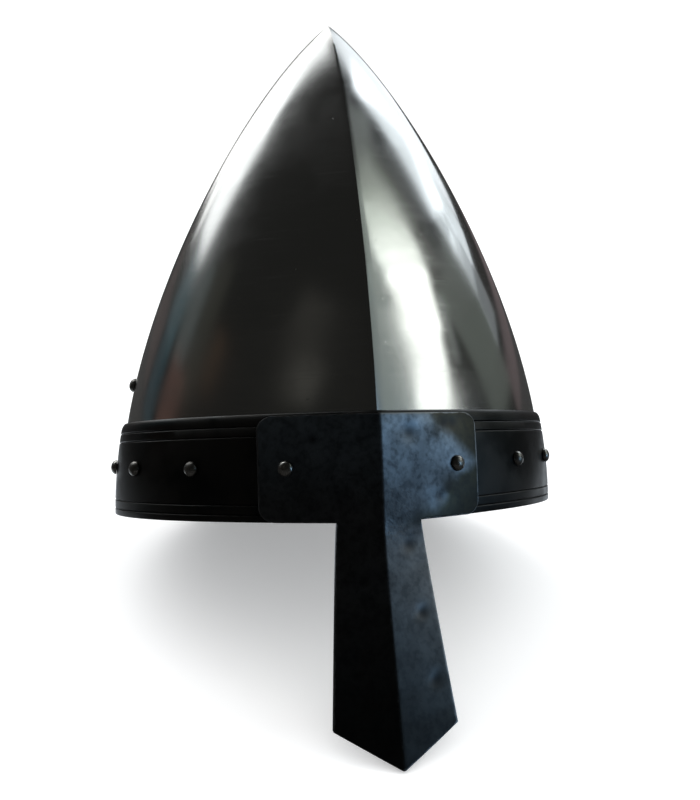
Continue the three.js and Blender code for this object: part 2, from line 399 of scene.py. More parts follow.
class NodeBoard:
    """A node tree with short ways to add nodes and to join them."""

    def __init__(self, tree: NodeTree) -> None:
        """Keeps the tree to work on."""
        self.tree = tree

    def add(self, kind: str, **settings: object) -> bpy.types.Node:
        """Adds a node.

        Args:
            kind: the node's type.
            settings: its properties by name.

        Returns:
            The node.
        """
        node = self.tree.nodes.new(kind)
        for name, value in settings.items():
            setattr(node, name, value)
        return node

    def join(self, source: Socket, target: Socket) -> None:
        """Joins two sockets."""
        self.tree.links.new(source, target)

    def feed(self, socket: Socket, value: object) -> None:
        """Joins a socket to another, or sets it to a plain value.

        Args:
            socket: the input.
            value: a socket, or a number, colour or vector.
        """
        if isinstance(value, Socket):
            self.join(value, socket)
        else:
            socket.default_value = value

    def math(self, operation: str, first: object, second: object = 0.0) -> Socket:
        """Adds a math node.

        Args:
            operation: what it does.
            first: first socket or number.
            second: second socket or number.

        Returns:
            Its result.
        """
        node = self.add("ShaderNodeMath", operation=operation)
        self.feed(node.inputs[0], first)
        self.feed(node.inputs[1], second)
        return node.outputs[0]

    def ramp(self, value: object, low: float, high: float, start: float = 0.0,
             end: float = 1.0) -> Socket:
        """Maps a range of values smoothly on to another, with its ends held.

        Args:
            value: the socket to map.
            low: where the range starts.
            high: where the range ends.
            start: result at the start.
            end: result at the end.

        Returns:
            The mapped value.
        """
        node = self.add("ShaderNodeMapRange", interpolation_type="SMOOTHSTEP")
        self.feed(node.inputs["Value"], value)
        for name, number in (("From Min", low), ("From Max", high), ("To Min", start), ("To Max", end)):
            node.inputs[name].default_value = number
        return node.outputs["Result"]

    def mix(self, share: object, first: object, second: object) -> Socket:
        """Mixes two colours.

        Args:
            share: how much of the second.
            first: first colour.
            second: second colour.

        Returns:
            The mixed colour.
        """
        node = self.add("ShaderNodeMix", data_type="RGBA")
        self.feed(node.inputs["Factor"], share)
        self.feed(node.inputs["A"], first)
        self.feed(node.inputs["B"], second)
        return node.outputs["Result"]

    def noise(self, vector: object, scale: object, detail: float = 2.0) -> Socket:
        """Adds a noise pattern.

        Args:
            vector: where it is read.
            scale: how fine it is.
            detail: how many finer layers it has.

        Returns:
            The pattern's value.
        """
        node = self.add("ShaderNodeTexNoise")
        self.feed(node.inputs["Vector"], vector)
        self.feed(node.inputs["Scale"], scale)
        node.inputs["Detail"].default_value = detail
        return node.outputs["Fac"]

    def split(self, vector: Socket) -> Sockets:
        """Splits a place into its axes.

        Args:
            vector: the place.

        Returns:
            The sockets X, Y and Z.
        """
        node = self.add("ShaderNodeSeparateXYZ")
        self.join(vector, node.inputs[0])
        return node.outputs

    def stretch(self, vector: object, scale: Sequence[float],
                turn: Sequence[float] = (0, 0, 0)) -> Socket:
        """Turns and stretches the place where a pattern is read.

        Args:
            vector: the place.
            scale: stretch along each axis.
            turn: turn about each axis.

        Returns:
            The new place.
        """
        node = self.add("ShaderNodeMapping")
        self.feed(node.inputs["Vector"], vector)
        node.inputs["Rotation"].default_value = turn
        node.inputs["Scale"].default_value = scale
        return node.outputs["Vector"]

    def bump(self, height: object, depth: float, normal: object = None) -> Socket:
        """Raises a surface's shading by a height pattern.

        Args:
            height: the pattern, from 0 to 1.
            depth: real height of a full step.
            normal: the shading under it, if any.

        Returns:
            The new normal.
        """
        node = self.add("ShaderNodeBump")
        node.inputs["Strength"].default_value = 1.0
        node.inputs["Distance"].default_value = depth
        self.feed(node.inputs["Height"], height)
        if normal is not None:
            self.join(normal, node.inputs["Normal"])
        return node.outputs["Normal"]


@dataclass
class SharedEffects:
    """Shader node groups that more than one finish uses, each with one mask as its output."""

    scratch_turns: tuple[Triple, ...] = ((0.4, 0.3, 0.9), (1.9, 0.8, 2.3), (0.9, 2.1, 0.2))
    scratch_stretch: Triple = (1.0, 0.035, 1.0)
    patch_scale: float = 35.0
    patch_range: Span = (0.5, 0.66)
    mottle_detail: float = 4.0
    mottle_range: Span = (0.36, 0.64)
    wear_detail: float = 5.0
    wear_range: Span = (1.05, 1.5)
    scratches: NodeTree = field(init=False)
    mottle: NodeTree = field(init=False)
    edge_wear: NodeTree = field(init=False)

    def __post_init__(self) -> None:
        """Builds each group once."""
        self.scratches = self._scratches()
        self.mottle = self._mottle()
        self.edge_wear = self._edge_wear()

    @staticmethod
    def _group(name: str, values: Sequence[str], mask: str) -> tuple[NodeBoard, Sockets, Socket]:
        """Starts a node group that reads a place.

        Args:
            name: its name.
            values: names of its other inputs.
            mask: name of its output.

        Returns:
            The board, the group's inputs and the socket for its mask.
        """
        tree = bpy.data.node_groups.new(name, "ShaderNodeTree")
        tree.interface.new_socket(name="Vector", in_out="INPUT", socket_type="NodeSocketVector")
        for value in values:
            tree.interface.new_socket(name=value, in_out="INPUT", socket_type="NodeSocketFloat")
        tree.interface.new_socket(name=mask, in_out="OUTPUT", socket_type="NodeSocketFloat")
        board = NodeBoard(tree)
        return board, board.add("NodeGroupInput").outputs, board.add("NodeGroupOutput").inputs[mask]

    def _scratches(self) -> NodeTree:
        """Builds sparse thin scratches in three directions.

        Returns:
            The group.
        """
        board, given, mask = self._group("sparse_scratches", ["Scale", "Width"], "Mask")
        total = None
        for turn in self.scratch_turns:
            cells = board.add("ShaderNodeTexVoronoi", feature="F1")
            board.join(board.stretch(given["Vector"], self.scratch_stretch, turn), cells.inputs["Vector"])
            board.join(given["Scale"], cells.inputs["Scale"])
            away = board.math("DIVIDE", cells.outputs["Distance"], given["Width"])
            line = board.ramp(away, 0.0, 1.0, 1.0, 0.0)
            total = line if total is None else board.math("MAXIMUM", total, line)
        patches = board.ramp(board.noise(given["Vector"], self.patch_scale), *self.patch_range)
        board.join(board.math("MULTIPLY", total, patches), mask)
        return board.tree

    def _mottle(self) -> NodeTree:
        """Builds soft cloudy patches.

        Returns:
            The group.
        """
        board, given, mask = self._group("cloudy_mottle", ["Scale"], "Clouds")
        pattern = board.noise(given["Vector"], given["Scale"], self.mottle_detail)
        board.join(board.ramp(pattern, *self.mottle_range), mask)
        return board.tree

    def _edge_wear(self) -> NodeTree:
        """Builds bare metal along edges, broken up by a fine pattern.

        Returns:
            The group.
        """
        board, given, mask = self._group("broken_edge_wear", ["Edge", "Scale"], "Mask")
        pattern = board.noise(given["Vector"], given["Scale"], self.wear_detail)
        broken = board.math("ADD", given["Edge"], pattern)
        board.join(board.ramp(broken, *self.wear_range), mask)
        return board.tree


@dataclass(frozen=True)
class SteelFinish:
    """What the steel finishes share: a colour, a gloss that clouds vary, and a place to start from."""

    name: str
    color: Color
    roughness: float
    cloud_scale: float
    cloud_haze: Span
    metallic: float = 1.0

    def start(self) -> tuple[Material, NodeBoard, Sockets, Socket]:
        """Starts a material.

        Returns:
            The material, its board, its shader's inputs, and the place on the upright helmet.
        """
        material = bpy.data.materials.new(self.name)
        material.use_nodes = True
        board = NodeBoard(material.node_tree)
        shader = material.node_tree.nodes["Principled BSDF"].inputs
        shader["Base Color"].default_value = self.color
        shader["Roughness"].default_value = self.roughness
        shader["Metallic"].default_value = self.metallic
        upright = RestPose().matrix().inverted()
        mapping = board.add("ShaderNodeMapping")
        mapping.inputs["Location"].default_value = upright.to_translation()
        mapping.inputs["Rotation"].default_value = upright.to_euler()
        board.join(board.add("ShaderNodeTexCoord").outputs["Object"], mapping.inputs["Vector"])
        return material, board, shader, mapping.outputs["Vector"]

    @staticmethod
    def use(board: NodeBoard, effect: NodeTree, place: Socket,
            **values: object) -> Socket:
        """Places a shared effect.

        Args:
            board: the material's board.
            effect: the node group.
            place: where it is read.
            values: its other inputs by name.

        Returns:
            The effect's mask.
        """
        node = board.add("ShaderNodeGroup", node_tree=effect)
        board.join(place, node.inputs["Vector"])
        for name, value in values.items():
            board.feed(node.inputs[name], value)
        return node.outputs[0]

    def clouded(self, board: NodeBoard, clouds: Socket) -> Socket:
        """Varies the roughness with the clouds.

        Args:
            board: the material's board.
            clouds: the clouds' mask.

        Returns:
            The roughness.
        """
        clear, full = self.cloud_haze
        return board.ramp(clouds, 0.0, 1.0, self.roughness + clear, self.roughness + full)


@dataclass(frozen=True)
class PolishedSteel(SteelFinish):
    """Hand-polished plate: wavy reflections, fine level polishing lines and a few scratches."""

    name: str = "polished_steel_plate"
    color: Color = (0.60, 0.605, 0.59, 1)
    dull_color: Color = (0.54, 0.54, 0.525, 1)
    roughness: float = 0.14
    cloud_scale: float = 22.0
    cloud_haze: Span = (-0.03, 0.03)
    scratch_scale: float = 150.0
    scratch_width: float = 0.07
    scratch_haze: float = 0.18
    scratch_depth: float = 0.05 * MM
    line_stretch: Triple = (1.0, 1.0, 60.0)
    line_scale: float = 40.0
    line_detail: float = 3.0
    line_range: Span = (0.56, 0.75)
    line_haze: float = 0.06
    line_depth: float = 0.004 * MM
    right_from: Span = (-2 * MM, 8 * MM)
    left_haze: float = 0.04
    left_waviness: float = 0.08
    wave_stretch: Triple = (1.0, 1.0, 0.55)
    wave_scale: float = 21.0
    wave_depth: float = 0.05 * MM
    ripple_scale: float = 62.0
    ripple_depth: float = 0.014 * MM
    wave_detail: float = 1.0

    def build(self, effects: SharedEffects) -> Material:
        """Builds the material.

        Args:
            effects: the shared node groups.

        Returns:
            The material.
        """
        material, board, shader, place = self.start()
        clouds = self.use(board, effects.mottle, place, Scale=self.cloud_scale)
        scratch = self.use(
            board, effects.scratches, place, Scale=self.scratch_scale, Width=self.scratch_width,
        )
        board.join(board.mix(clouds, self.color, self.dull_color), shader["Base Color"])
        lines = board.noise(board.stretch(place, self.line_stretch), self.line_scale, self.line_detail)
        hairs = board.ramp(lines, *self.line_range, 0.0, self.line_haze)
        worn = board.math("MULTIPLY", scratch, self.scratch_haze)
        right = board.ramp(board.split(place)["X"], *self.right_from)
        haze = board.ramp(right, 0.0, 1.0, self.left_haze, 0.0)
        marks = board.math("ADD", board.math("ADD", worn, hairs), haze)
        board.join(board.math("ADD", self.clouded(board, clouds), marks), shader["Roughness"])
        waviness = board.ramp(right, 0.0, 1.0, self.left_waviness, 1.0)
        wave = board.noise(board.stretch(place, self.wave_stretch), self.wave_scale, self.wave_detail)
        ripple = board.noise(place, self.ripple_scale, self.wave_detail)
        normal = board.bump(board.math("MULTIPLY", wave, waviness), self.wave_depth)
        normal = board.bump(board.math("MULTIPLY", ripple, right), self.ripple_depth, normal)
        normal = board.bump(lines, self.line_depth, normal)
        board.join(board.bump(scratch, -self.scratch_depth, normal), shader["Normal"])
        return material


@dataclass(frozen=True)
class BlackenedSteel(SteelFinish):
    """Oil-blackened band: near black, half gloss, with bare metal on its lips and small nicks."""

    name: str = "oil_blackened_steel"
    color: Color = (0.027, 0.029, 0.029, 1)
    brown_color: Color = (0.044, 0.043, 0.041, 1)
    bare_color: Color = (0.12, 0.12, 0.118, 1)
    roughness: float = 0.36
    cloud_scale: float = 45.0
    cloud_haze: Span = (-0.06, 0.1)
    scratch_scale: float = 320.0
    scratch_width: float = 0.035
    scratch_share: float = 0.5
    wear_scale: float = 260.0
    bare_depth: float = 0.03 * MM
    hammer_scale: float = 55.0
    hammer_depth: float = 0.12 * MM
    grain_scale: float = 700.0
    grain_detail: float = 4.0
    grain_depth: float = 0.006 * MM

    def build(self, effects: SharedEffects) -> Material:
        """Builds the material.

        Args:
            effects: the shared node groups.

        Returns:
            The material.
        """
        material, board, shader, place = self.start()
        edge = board.add("ShaderNodeAttribute", attribute_name="edge").outputs["Fac"]
        clouds = self.use(board, effects.mottle, place, Scale=self.cloud_scale)
        scratch = self.use(
            board, effects.scratches, place, Scale=self.scratch_scale, Width=self.scratch_width,
        )
        wear = self.use(board, effects.edge_wear, place, Edge=edge, Scale=self.wear_scale)
        bare = board.math("MAXIMUM", wear, board.math("MULTIPLY", scratch, self.scratch_share))
        black = board.mix(clouds, self.color, self.brown_color)
        board.join(board.mix(bare, black, self.bare_color), shader["Base Color"])
        board.join(self.clouded(board, clouds), shader["Roughness"])
        grain = board.noise(place, self.grain_scale, self.grain_detail)
        normal = board.bump(board.noise(place, self.hammer_scale), self.hammer_depth)
        normal = board.bump(grain, self.grain_depth, normal)
        board.join(board.bump(bare, -self.bare_depth, normal), shader["Normal"])
        return material


@dataclass(frozen=True)
class BluedSteel(SteelFinish):
    """Forge-blued plate: blue by the crease, grey-green outwards, pitted at the rim, bare on its edges, with
    painted shade darkening the hollows of its dents.
    """

    name: str = "forge_blued_steel"
    color: Color = (0.116, 0.123, 0.132, 1)
    top_color: Color = (0.205, 0.252, 0.300, 1)
    low_color: Color = (0.050, 0.053, 0.054, 1)
    outer_color: Color = (0.046, 0.045, 0.035, 1)
    dark_color: Color = (0.022, 0.024, 0.027, 1)
    bare_color: Color = (0.18, 0.19, 0.20, 1)
    roughness: float = 0.38
    cloud_scale: float = 38.0
    cloud_haze: Span = (-0.05, 0.08)
    cloud_share: float = 0.26
    spot_scale: float = 130.0
    spot_share: float = 0.28
    fine_scale: float = 430.0
    fine_detail: float = 4.0
    fine_range: Span = (0.42, 0.64)
    fine_share: float = 0.24
    bright_heights: Span = (2 * MM, 36 * MM)
    dark_heights: Span = (-80 * MM, -5 * MM)
    outer_middle: float = 22 * MM
    outer_spread: float = 1.1
    outer_unevenness: float = 8 * MM
    outer_from: Span = (39 * MM, 50 * MM)
    outer_heights: Span = (-4 * MM, 0.0)
    pitted_from: Span = (0.5 * MM, 2 * MM)
    pitted_beside: float = 19 * MM
    pitted_heights: Span = (-9 * MM, 19 * MM)
    pitted_fade: float = 6 * MM
    pitted_share: float = 0.55
    pitted_depth: float = 0.04 * MM
    speck_scale: float = 560.0
    speck_range: Span = (0.46, 0.64)
    # how dark the dents' hollows are painted: painted shade in the dents
    dent_shade_share: float = 0.85
    wear_scale: float = 300.0
    hammer_scale: float = 70.0
    hammer_depth: float = 0.09 * MM
    grain_scale: float = 900.0
    grain_detail: float = 3.0
    grain_depth: float = 0.008 * MM

    def build(self, effects: SharedEffects) -> Material:
        """Builds the material.

        Args:
            effects: the shared node groups.

        Returns:
            The material.
        """
        material, board, shader, place = self.start()
        edge = board.add("ShaderNodeAttribute", attribute_name="edge").outputs["Fac"]
        # each dent's hollow, which the colour below darkens as painted shade
        dents = board.add("ShaderNodeAttribute", attribute_name="dent_shade").outputs["Fac"]
        axes = board.split(place)
        clouds = self.use(board, effects.mottle, place, Scale=self.cloud_scale)
        spots = self.use(board, effects.mottle, place, Scale=self.spot_scale)
        wear = self.use(board, effects.edge_wear, place, Edge=edge, Scale=self.wear_scale)
        specks = board.ramp(board.noise(place, self.speck_scale, self.fine_detail), *self.speck_range)
        pitted = board.math("MULTIPLY", self.pitted_zone(board, axes), specks)
        fine = board.noise(place, self.fine_scale, self.fine_detail)
        stains = board.math(
            "ADD",
            board.math("MULTIPLY", spots, self.spot_share),
            board.math("MULTIPLY", clouds, self.cloud_share),
        )
        stains = board.math("ADD", stains, board.ramp(fine, *self.fine_range, 0.0, self.fine_share))
        # the pitted specks are the plate's own pitting; the dents' part is painted shade in their hollows
        marks = board.math(
            "MAXIMUM",
            board.math("MULTIPLY", pitted, self.pitted_share),
            board.math("MULTIPLY", dents, self.dent_shade_share),
        )
        lower = board.ramp(axes["Z"], *self.dark_heights, 1.0, 0.0)
        upper = board.ramp(axes["Z"], *self.bright_heights)
        blue = board.mix(upper, board.mix(lower, self.color, self.low_color), self.top_color)
        blue = board.mix(self.outer_zone(board, axes, clouds), blue, self.outer_color)
        stained = board.mix(board.math("MAXIMUM", stains, marks), blue, self.dark_color)
        board.join(board.mix(wear, stained, self.bare_color), shader["Base Color"])
        board.join(self.clouded(board, clouds), shader["Roughness"])
        grain = board.noise(place, self.grain_scale, self.grain_detail)
        normal = board.bump(board.noise(place, self.hammer_scale), self.hammer_depth)
        normal = board.bump(pitted, -self.pitted_depth, normal)
        board.join(board.bump(grain, self.grain_depth, normal), shader["Normal"])
        return material

    def outer_zone(self, board: NodeBoard, axes: Sockets, clouds: Socket) -> Socket:
        """Where the blue has worn to grey-green: towards the outer corners, in an uneven line.

        Args:
            board: the material's board.
            axes: the place, split into its axes.
            clouds: what makes the line uneven.

        Returns:
            The zone's mask.
        """
        reach = board.math("ABSOLUTE", board.math("SUBTRACT", axes["Z"], self.outer_middle))
        out = board.math("ADD", axes["X"], board.math("MULTIPLY", reach, self.outer_spread))
        out = board.math("ADD", out, board.math("MULTIPLY", clouds, self.outer_unevenness))
        above = board.ramp(axes["Z"], *self.outer_heights)
        return board.math("MULTIPLY", above, board.ramp(out, *self.outer_from))

    def pitted_zone(self, board: NodeBoard, axes: Sockets) -> Socket:
        """Where the plate is pitted: a strip to the right of the crease, about the rim.

        Args:
            board: the material's board.
            axes: the place, split into its axes.

        Returns:
            The zone's mask.
        """
        bottom, top = self.pitted_heights
        right = board.ramp(axes["X"], *self.pitted_from)
        near = board.ramp(axes["X"], self.pitted_beside / 2, self.pitted_beside, 1.0, 0.0)
        above = board.ramp(axes["Z"], bottom, bottom + self.pitted_fade)
        below = board.ramp(axes["Z"], top - self.pitted_fade, top, 1.0, 0.0)
        strip = board.math("MULTIPLY", right, near)
        return board.math("MULTIPLY", strip, board.math("MULTIPLY", above, below))


@dataclass(frozen=True)
class RivetSteel(SteelFinish):
    """Dark rivet heads, their tone and gloss varied in soft clouds."""

    name: str = "dark_rivet_steel"
    color: Color = (0.32, 0.315, 0.295, 1)
    dark_color: Color = (0.15, 0.145, 0.135, 1)
    roughness: float = 0.29
    cloud_scale: float = 240.0
    cloud_haze: Span = (-0.05, 0.12)
    hammer_scale: float = 420.0
    hammer_depth: float = 0.05 * MM

    def build(self, effects: SharedEffects) -> Material:
        """Builds the material.

        Args:
            effects: the shared node groups.

        Returns:
            The material.
        """
        material, board, shader, place = self.start()
        clouds = self.use(board, effects.mottle, place, Scale=self.cloud_scale)
        board.join(board.mix(clouds, self.color, self.dark_color), shader["Base Color"])
        board.join(self.clouded(board, clouds), shader["Roughness"])
        board.join(board.bump(board.noise(place, self.hammer_scale), self.hammer_depth), shader["Normal"])
        return material


def hand_over(piece: Piece, material: Material, node: str) -> None:
    """Lays a finished piece into the rest pose, dresses it and puts it in its node's place.

    Args:
        piece: the piece, upright.
        material: its finish.
        node: the node that it stands for.
    """
    Bench.place(piece, RestPose().matrix())
    piece.data.materials.clear()
    piece.data.materials.append(material)
    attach(piece, "root")
    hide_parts(node)
    LOG.info("%s: %d faces, for %s", piece.name, len(piece.data.polygons), node)


@dataclass
class Dome:
    """The polished shell, with a sharp front ridge and a small round point."""

    form: HelmetForm
    wall: float = 1.6 * MM
    tip_round: float = 1.2 * MM
    tip_clearance: float = 1.2
    tip_steps: int = 5
    ridge_softness: float = 0.25 * MM
    ridge_segments: int = 3
    ridge_end: float = 0.25
    level_edge: float = 0.1 * MM
    sharp_from_deg: float = 28
    columns: int = 180
    levels: int = 80

    def skin(self) -> Points:
        """Draws the whole wall, from the point inside, round the rim, to the point outside.

        Returns:
            Points of (radius, height).
        """
        along = np.linspace(0, 1, self.levels)
        radius, height = self.form.profile(along)
        slope_r, slope_h = np.gradient(radius), np.gradient(height)
        length = np.hypot(slope_r, slope_h)
        inner_r = radius - self.wall * slope_h / length
        inner_h = height + self.wall * slope_r / length
        half_angle = math.atan2(-slope_r[-1], slope_h[-1])
        touch = self.tip_round * math.cos(half_angle)
        middle = self.form.height - self.tip_round / math.sin(half_angle)
        outer = [(r, h) for r, h in zip(radius, height) if r > self.tip_clearance * touch]
        for turn in np.linspace(half_angle, math.pi / 2, self.tip_steps):
            outer.append((self.tip_round * math.cos(turn), middle + self.tip_round * math.sin(turn)))
        outer[-1] = (0.0, outer[-1][1])
        inner_tip = self.form.height - self.wall / math.sin(half_angle)
        inner = [(r, h) for r, h in zip(inner_r, inner_h) if r > self.tip_round]
        return [(0.0, inner_tip), *reversed(inner), *outer]

    def press_rule(self, places: np.ndarray) -> np.ndarray:
        """Presses round levels into the helmet's plan.

        Args:
            places: places on the round shell.

        Returns:
            Places on the pressed shell.
        """
        angle = np.arctan2(places[:, 0], -places[:, 1])
        radius = np.hypot(places[:, 0], places[:, 1])
        return self.form.section(angle, radius, places[:, 2])

    def soften_ridge(self, piece: Piece) -> None:
        """Bevels the front ridge a little, outside, up to where the point begins.

        Args:
            piece: the pressed shell.
        """
        least_reach = self.ridge_end * self.form.front

        def outside(end: Vector) -> bool:
            """Tells whether a vertex lies on the outside of the ridge.

            Args:
                end: the vertex's place.

            Returns:
                True if it does.
            """
            if abs(end.x) > MIDDLE_TOLERANCE or end.y > -least_reach:
                return False
            return end.y <= float(self.form.front_y(0.0, self.form.radius_at(end.z), end.z)) + self.wall / 2

        def on_ridge(first: Vector, second: Vector) -> bool:
            """Whether an edge runs up the outside of the ridge."""
            return outside(first) and outside(second) and abs(first.z - second.z) > self.level_edge

        Bench.soften(piece, on_ridge, self.ridge_softness, self.ridge_segments)

    def build(self, material: Material, drills: Piece) -> None:
        """Builds and dresses the dome.

        Args:
            material: its finish.
            drills: what cuts the rivets' holes.
        """
        piece = Bench.draw_profile("polished_dome", self.skin())
        Bench.turn(piece, self.columns)
        Bench.press(piece, self.press_rule)
        self.soften_ridge(piece)
        Bench.drill(piece, drills)
        Bench.smooth(piece, self.sharp_from_deg)
        hand_over(piece, material, "dome")


@dataclass(frozen=True)
class Wear:
    """How bare an edge wears, and how far from it."""

    share: float
    width: float

    def on(self, away: np.ndarray) -> np.ndarray:
        """How bare the metal is at distances from the edge."""
        return self.share * fading(away, self.width)


@dataclass
class BrowBand:
    """The blackened ring, taller at the front, with engraved double lines and a rounded top edge."""

    form: HelmetForm
    thickness: float = 2.0 * MM
    height: float = 39.5 * MM
    front_rise: float = 4.5 * MM
    groove_width: float = 0.9 * MM
    groove_depth: float = 0.45 * MM
    bottom_round: float = 0.4 * MM
    top_roll_in: float = 1.6 * MM
    top_roll_down: float = 3.8 * MM
    bottom_lines: Span = (3 * MM, 7 * MM)
    top_lines: Span = (5 * MM, 9 * MM)
    groove_shares: tuple[float, ...] = (-1.0, -0.6, -0.3, 0.0, 0.3, 0.6, 1.0)
    bottom_steps: int = 4
    roll_steps: int = 7
    wall_steps: int = 9
    top_wear: Wear = Wear(0.4, 0.6 * MM)
    rim_wear: Wear = Wear(0.8, 0.5 * MM)
    line_wear: Wear = Wear(0.5, 0.7 * MM)
    sharp_from_deg: float = 35
    columns: int = 180

    def rise(self, angle: np.ndarray) -> np.ndarray:
        """Extra height of the top at turns from the front."""
        return self.front_rise * (1 + np.cos(angle)) / 2

    def face(self) -> float:
        """How far the band's face stands off the dome."""
        return SHEET_GAP + self.thickness

    def line_heights(self) -> list[float]:
        """Heights of the engraved lines at the back, from the bottom up."""
        return [*self.bottom_lines, *(self.height - drop for drop in reversed(self.top_lines))]

    def cut(self) -> Points:
        """Draws the ring's section, from the inner bottom edge round and back.

        Returns:
            Points of (stand-off, height).
        """
        points = []
        for turn in np.linspace(-math.pi / 2, 0, self.bottom_steps):
            points.append((
                self.thickness - self.bottom_round * (1 - math.cos(turn)),
                self.bottom_round * (1 + math.sin(turn)),
            ))
        half = self.groove_width / 2
        for height in self.line_heights():
            for share in self.groove_shares:
                sunk = self.groove_depth * (1 + math.cos(math.pi * share)) / 2
                points.append((self.thickness - sunk, height + share * half))
        lowest = self.bottom_lines[-1] + self.groove_width
        highest = self.height - self.top_lines[-1] - self.groove_width
        for height in np.linspace(lowest, highest, self.wall_steps):
            points.append((self.thickness, float(height)))
        points.sort(key=lambda point: (point[1], point[0]))
        for turn in np.linspace(0, math.pi / 2, self.roll_steps):
            points.append((
                self.thickness - self.top_roll_in * (1 - math.cos(turn)),
                self.height - self.top_roll_down * (1 - math.sin(turn)),
            ))
        points += [(0.0, share * self.height) for share in np.linspace(1, 0, self.wall_steps)]
        return [(0.0, 0.0), *points]

    def press_rule(self, places: np.ndarray) -> np.ndarray:
        """Lifts the upper half towards the front and presses the ring on to the dome.

        Args:
            places: places on the round ring.

        Returns:
            Places on the pressed ring.
        """
        angle = np.arctan2(places[:, 0], -places[:, 1])
        standoff = np.hypot(places[:, 0], places[:, 1]) - self.form.half_width
        share = np.clip(places[:, 2] / self.height * 3 - 1, 0, 1)
        level = places[:, 2] + share * self.rise(angle)
        return self.form.section(angle, self.form.radius_at(level) + standoff, level)

    def edge_values(self, places: np.ndarray) -> np.ndarray:
        """Finds the lips that wear bare: the top, the rim and the engraved lines.

        Args:
            places: places of the band's vertices.

        Returns:
            Values from 0 to 1.
        """
        level = places[:, 2]
        below_top = self.height + self.rise(np.arctan2(places[:, 0], -places[:, 1])) - level
        bare = self.top_wear.on(below_top) + self.rim_wear.on(level)
        for height in self.bottom_lines:
            bare += self.line_wear.on(level - height)
        for drop in self.top_lines:
            bare += self.line_wear.on(below_top - drop)
        return np.clip(bare, 0, 1)

    def build(self, material: Material, drills: Piece) -> None:
        """Builds and dresses the band.

        Args:
            material: its finish.
            drills: what cuts the rivets' holes.
        """
        inside = self.form.half_width + SHEET_GAP
        piece = Bench.draw_profile("engraved_brow_band", [(inside + out, h) for out, h in self.cut()])
        Bench.turn(piece, self.columns)
        Bench.press(piece, self.press_rule)
        Bench.drill(piece, drills)
        Bench.mark(piece, "edge", self.edge_values(Bench.places(piece)))
        Bench.smooth(piece, self.sharp_from_deg)
        hand_over(piece, material, "brow_band")


@dataclass(frozen=True)
class Dent:
    """A small hammer mark or pitted hollow in the nose guard's face, whose colour the finish darkens with
    painted shade.
    """

    x: float
    z: float
    radius: float
    depth: float


